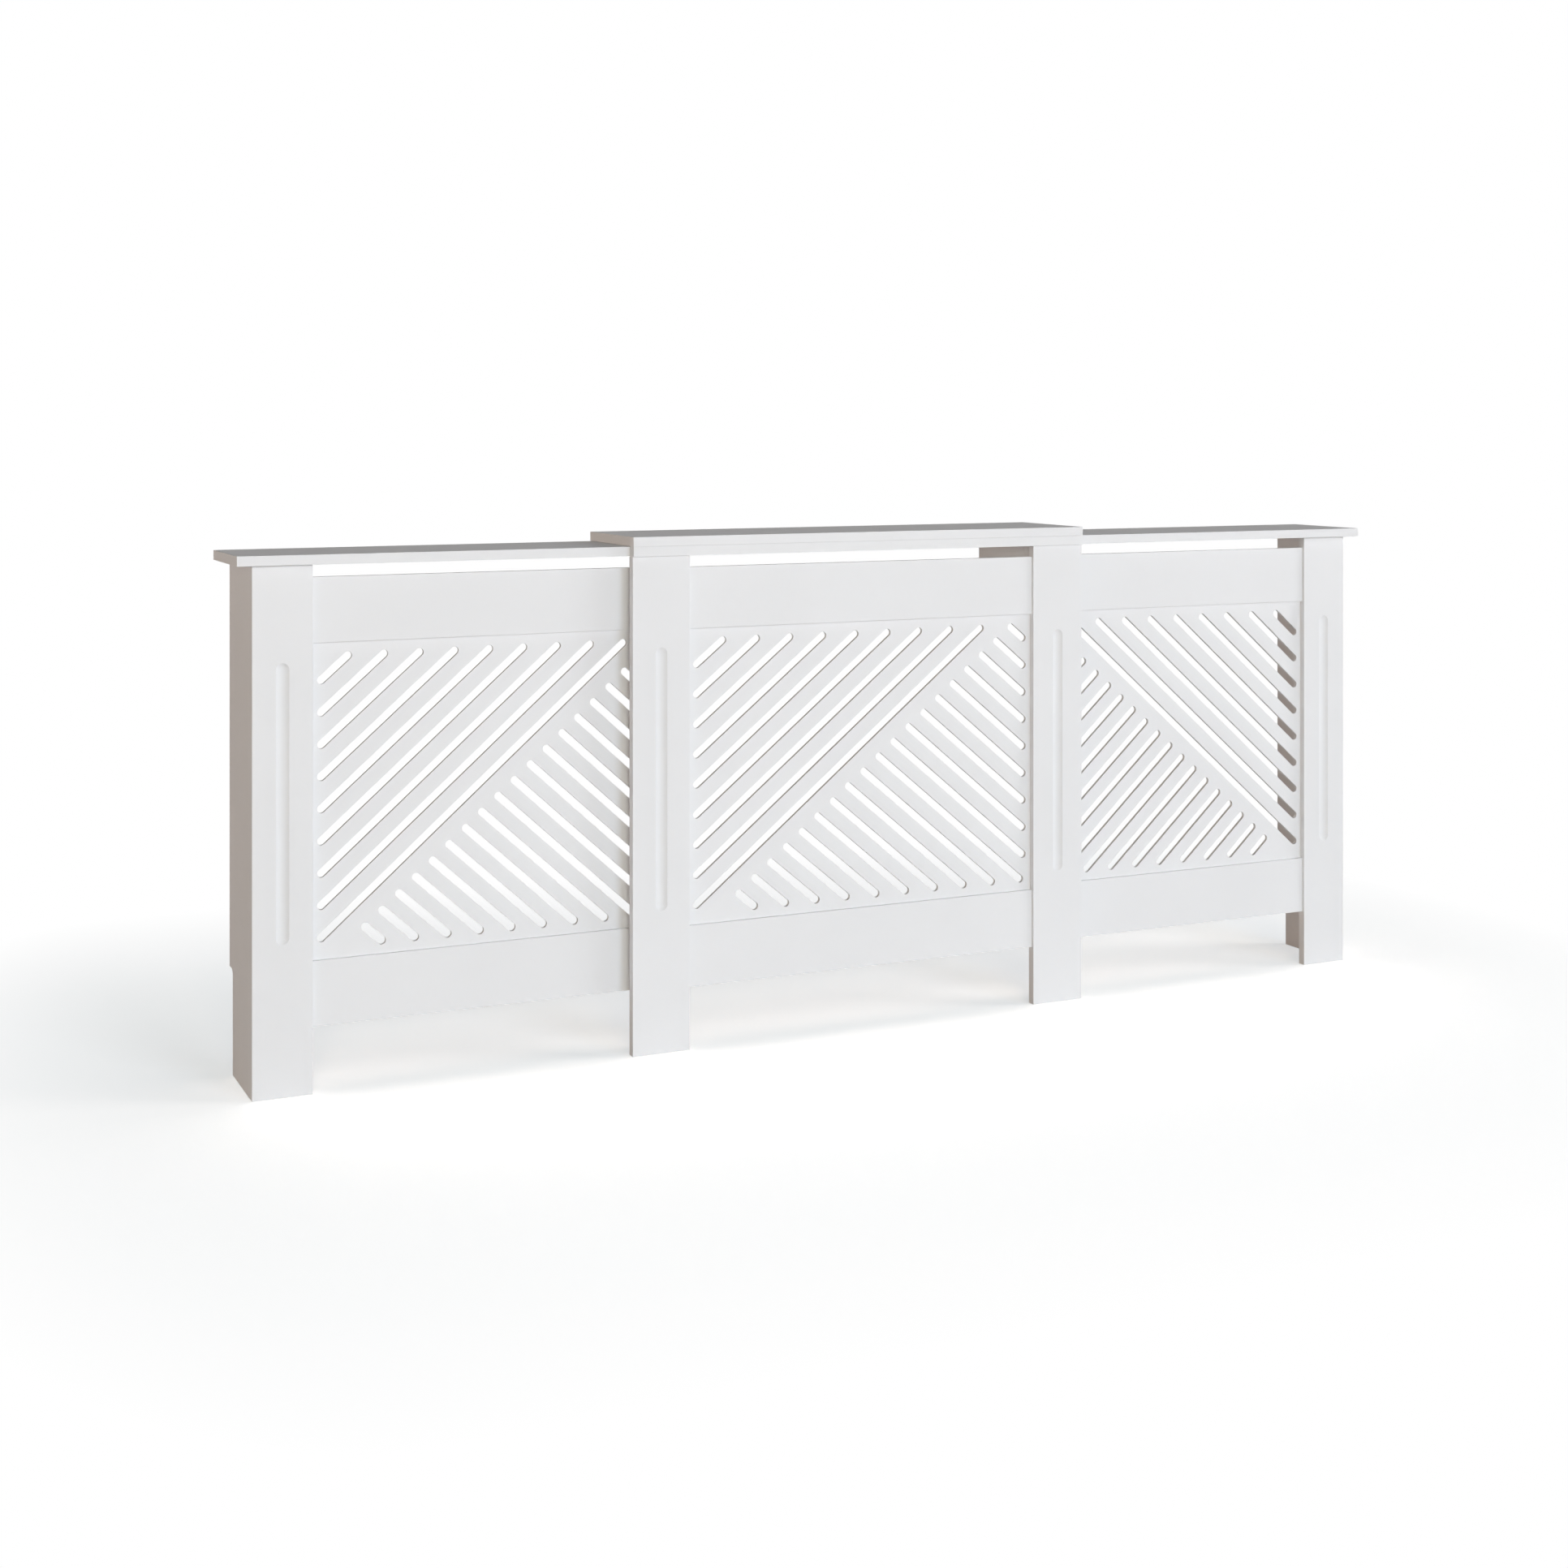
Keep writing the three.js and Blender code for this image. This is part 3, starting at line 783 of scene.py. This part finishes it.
def floor():
    """A white floor that keeps the cover's shadow and fades into the white background."""
    bm = bmesh.new()
    bmesh.ops.create_circle(bm, cap_ends=True, radius=FLOOR_RADIUS, segments=FLOOR_SIDES)
    made = object_of("floor", bm)
    made.location.z = -FLOOR_DROP
    nodes = Nodes("floor")
    nodes.feed(nodes.shader, {
        "Base Color": linear(232, 232, 232),
        "Roughness": 0.9,
        "Specular IOR Level": 0,
    })

    shaded = nodes.add("ShaderNodeBsdfDiffuse", {"Color": (*FLOOR_GAIN, 1)})
    glow = nodes.add("ShaderNodeEmission", {"Color": (*FLOOR_GLOW, 1)})
    seen = nodes.add("ShaderNodeAddShader",
                     {0: shaded.outputs["BSDF"], 1: glow.outputs["Emission"]})
    white = nodes.add("ShaderNodeEmission", {"Color": WHITE, "Strength": 1})

    beside = nodes.vector("ABSOLUTE", nodes.coordinates)
    beside = nodes.vector("SUBTRACT", beside, cad_box[1])
    beside = nodes.vector("MAXIMUM", beside, (0, 0, 0))
    beside = nodes.vector("MULTIPLY", beside, (FLOOR_FADE_ENDS, 1, 0))
    length = nodes.add("ShaderNodeVectorMath", {0: beside}, operation="LENGTH")
    away = nodes.add("ShaderNodeMapRange",
                     {"Value": length.outputs["Value"], "From Max": FLOOR_FADE})
    far = nodes.mixed(away.outputs["Result"], seen.outputs["Shader"], white.outputs["Emission"])
    shown = nodes.mixed(looked_at(nodes), nodes.shader.outputs["BSDF"], far)
    nodes.feed(nodes.tree.nodes["Material Output"], {"Surface": shown})
    made.data.materials.append(nodes.material)


class WorldNodes(Nodes):
    """The world's node tree."""

    def __init__(self):
        world = bpy.data.worlds.new("studio")
        bpy.context.scene.world = world
        world.use_nodes = True
        self.tree = world.node_tree


def studio():
    """Warm light from low all round and hardly any from above, and white where it shows."""
    nodes = WorldNodes()
    direction = nodes.add("ShaderNodeTexCoord").outputs["Generated"]
    height = nodes.add("ShaderNodeSeparateXYZ", {"Vector": direction}).outputs["Z"]
    below = nodes.value("SUBTRACT", 1, height)
    falloff = nodes.value("POWER", below, HORIZON_FALLOFF)
    ambient = nodes.tree.nodes["Background"]
    nodes.feed(ambient, {"Color": (*HORIZON, 1), "Strength": falloff})
    white = nodes.add("ShaderNodeBackground", {"Color": WHITE, "Strength": 1})
    shown = nodes.mixed(looked_at(nodes), ambient.outputs["Background"],
                        white.outputs["Background"])
    nodes.feed(nodes.tree.nodes["World Output"], {"Surface": shown})


def softbox(name, turn, height, power, colour):
    """A far softbox. `turn` is its angle round the cover from the front, and `height` over it."""
    turn, height = math.radians(turn), math.radians(height)
    ray = Vector((math.cos(height) * math.sin(turn), -math.cos(height) * math.cos(turn),
                  math.sin(height)))
    light = bpy.data.lights.new(name, "AREA")
    light.shape = "RECTANGLE"
    light.size, light.size_y = SOFTBOX_SIZE
    light.energy = power
    light.color = colour
    made = bpy.data.objects.new(name, light)
    made.location = SOFTBOX_AIM + ray * SOFTBOX_DISTANCE
    made.rotation_euler = ray.to_track_quat("Z", "Y").to_euler()
    bpy.context.scene.collection.objects.link(made)
    made.visible_camera = False


def camera():
    """A level camera, with the frame dropped so that the cover shows."""
    data = bpy.data.cameras.new("camera")
    data.lens = CAMERA_LENS
    data.sensor_width = CAMERA_SENSOR
    data.shift_y = -CAMERA_DROP
    made = bpy.data.objects.new("camera", data)
    made.location = CAMERA_PLACE
    made.rotation_euler = (math.radians(90), 0, math.radians(-CAMERA_TURN))
    bpy.context.scene.collection.objects.link(made)
    bpy.context.scene.camera = made


camera()
studio()
floor()
for name, settings in SOFTBOXES.items():
    softbox(name, *settings)
bpy.context.scene.view_settings.view_transform = "Standard"
